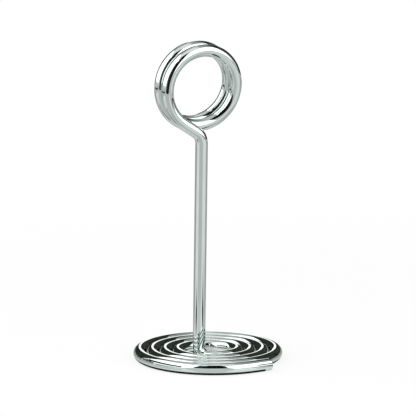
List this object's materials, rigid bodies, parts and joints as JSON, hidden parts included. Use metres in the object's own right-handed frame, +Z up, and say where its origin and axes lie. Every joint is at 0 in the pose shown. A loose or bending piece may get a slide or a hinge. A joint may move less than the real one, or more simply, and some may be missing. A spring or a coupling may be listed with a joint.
{
  "type": "table number stand",
  "caption": "Plated wire stand that holds a table number or place card upright: flat spiral foot, straight stem and a double ring that grips the card.",
  "frame": {"origin": "on the table, under the middle of the spiral foot's outline", "axes": "+Z up; the ring faces -Y, where the reader of the card is; +X to the reader's right"},
  "size_m": [0.047, 0.0488, 0.1016],
  "materials": {
    "bright_plated_wire": "bright chrome plating on steel wire, with fine drawing lines and faint tool marks at the bends"
  },
  "bodies": {
    "root": {"bent_wire": "bright_plated_wire"}
  },
  "joints": []
}
